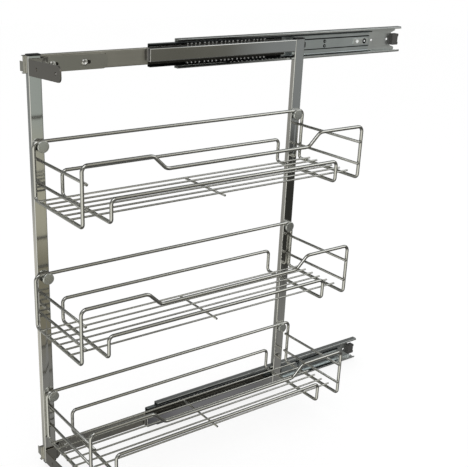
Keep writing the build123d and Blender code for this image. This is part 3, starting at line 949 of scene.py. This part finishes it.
def floor_finish(stage):
    """A dull floor that shines by itself in part."""
    material = bpy.data.materials.new("studio_floor")
    material.use_nodes = True
    tree = material.node_tree
    shader = tree.nodes[PRINCIPLED]
    shader.inputs["Base Color"].default_value = (*stage.background, 1.0)
    shader.inputs["Roughness"].default_value = FLOOR_ROUGHNESS
    shader.inputs["Specular IOR Level"].default_value = FLOOR_SPECULAR
    glow = tree.nodes.new("ShaderNodeEmission")
    glow.inputs["Color"].default_value = (*stage.background, 1.0)
    mix = tree.nodes.new("ShaderNodeMixShader")
    mix.inputs["Fac"].default_value = stage.floor_glow
    link(tree, shader.outputs["BSDF"], mix.inputs[1])
    link(tree, glow.outputs["Emission"], mix.inputs[2])
    link(tree, mix.outputs["Shader"], tree.nodes["Material Output"].inputs["Surface"])
    return material


def add_floor(stage):
    """A pale floor that keeps the shadow and shows white to the camera."""
    low, high = cad_bounds
    place = Matrix.Translation(((low.x + high.x) / 2, 0, low.z - FLOOR_GAP))
    shape = bmesh.new()
    bmesh.ops.create_grid(shape, x_segments=1, y_segments=1, size=FLOOR_REACH, matrix=place)
    mesh = bpy.data.meshes.new("studio_floor")
    shape.to_mesh(mesh)
    shape.free()
    floor = bpy.data.objects.new("studio_floor", mesh)
    bpy.context.scene.collection.objects.link(floor)
    mesh.materials.append(floor_finish(stage))
    floor.visible_glossy = False


def toward(tree, place, heading, rise, inner, outer):
    """1 round one direction of the room, falling to 0; angles in degrees, heading 0 is -Y, 90 is +X."""
    turn, lift = math.radians(heading), math.radians(rise)
    dot = tree.nodes.new("ShaderNodeVectorMath")
    dot.operation = "DOT_PRODUCT"
    link(tree, place, dot.inputs[0])
    dot.inputs[1].default_value = (math.sin(turn) * math.cos(lift), -math.cos(turn) * math.cos(lift),
                                   math.sin(lift))
    near, far = math.cos(math.radians(inner)), math.cos(math.radians(outer))
    return range_node(tree, dot.outputs["Value"], far, near, 0.0, 1.0)


def add_world(stage):
    """White for the camera; what the plating mirrors is a dim room with soft bright panels."""
    world = bpy.data.worlds.new("studio")
    bpy.context.scene.world = world
    world.use_nodes = True
    tree = world.node_tree
    background = tree.nodes["Background"]
    place = tree.nodes.new("ShaderNodeTexCoord").outputs["Generated"]
    room = ROOM
    for heading, rise, inner, outer, colour in PANELS:
        room = mixed_colour(tree, toward(tree, place, heading, rise, inner, outer), room, colour)
    rays = tree.nodes.new("ShaderNodeLightPath")
    mirrored = mixed_colour(tree, rays.outputs["Is Glossy Ray"], stage.background, room)
    link(tree, mirrored, background.inputs["Color"])
    background.inputs["Strength"].default_value = 1.0


class PANTRY_OT_stage(bpy.types.Operator):
    """Adds the floor, lamps, world and camera"""
    bl_idname = "pantry.stage"
    bl_label = "Studio"

    def execute(self, context):
        stage = context.scene.pantry_stage
        context.scene.view_settings.view_transform = "Standard"
        low, high = cad_bounds
        middle = (low + high) / 2
        add_floor(stage)
        add_world(stage)
        add_lamp("key_lamp", KEY_PLACE, middle, KEY_SIZE, stage.key_power)
        add_lamp("fill_lamp", FILL_PLACE, middle, FILL_SIZE, stage.fill_power)
        add_camera(stage)
        return {"FINISHED"}


class PANTRY_PT_panel(bpy.types.Panel):
    """Lists the settings and the steps"""
    bl_idname = "PANTRY_PT_panel"
    bl_label = "Pantry Frame"
    bl_space_type = "VIEW_3D"
    bl_region_type = "UI"
    bl_category = "Pantry Frame"

    def draw(self, context):
        for group in SETTINGS:
            settings = getattr(context.scene, group)
            box = self.layout.box()
            for name in settings.bl_rna.properties.keys():
                if name not in ("rna_type", "name"):
                    box.prop(settings, name)
        for operator in OPERATORS:
            self.layout.operator(operator.bl_idname)


OPERATORS = (PANTRY_OT_frame, PANTRY_OT_slides, PANTRY_OT_fittings, PANTRY_OT_baskets, PANTRY_OT_stage)
SETTINGS = {"pantry_plating": PlatingSettings, "pantry_slides": SlideSettings,
            "pantry_edges": EdgeSettings, "pantry_stage": StageSettings}


def register():
    for group in SETTINGS.values():
        bpy.utils.register_class(group)
    for name, group in SETTINGS.items():
        setattr(bpy.types.Scene, name, bpy.props.PointerProperty(type=group))
    for operator in OPERATORS:
        bpy.utils.register_class(operator)
    bpy.utils.register_class(PANTRY_PT_panel)


def unregister():
    bpy.utils.unregister_class(PANTRY_PT_panel)
    for operator in reversed(OPERATORS):
        bpy.utils.unregister_class(operator)
    for name in SETTINGS:
        delattr(bpy.types.Scene, name)
    for group in reversed(SETTINGS.values()):
        bpy.utils.unregister_class(group)


def main():
    register()
    bpy.ops.pantry.frame()
    bpy.ops.pantry.slides()
    bpy.ops.pantry.fittings()
    bpy.ops.pantry.baskets()
    bpy.ops.pantry.stage()


if __name__ == "__main__":
    main()
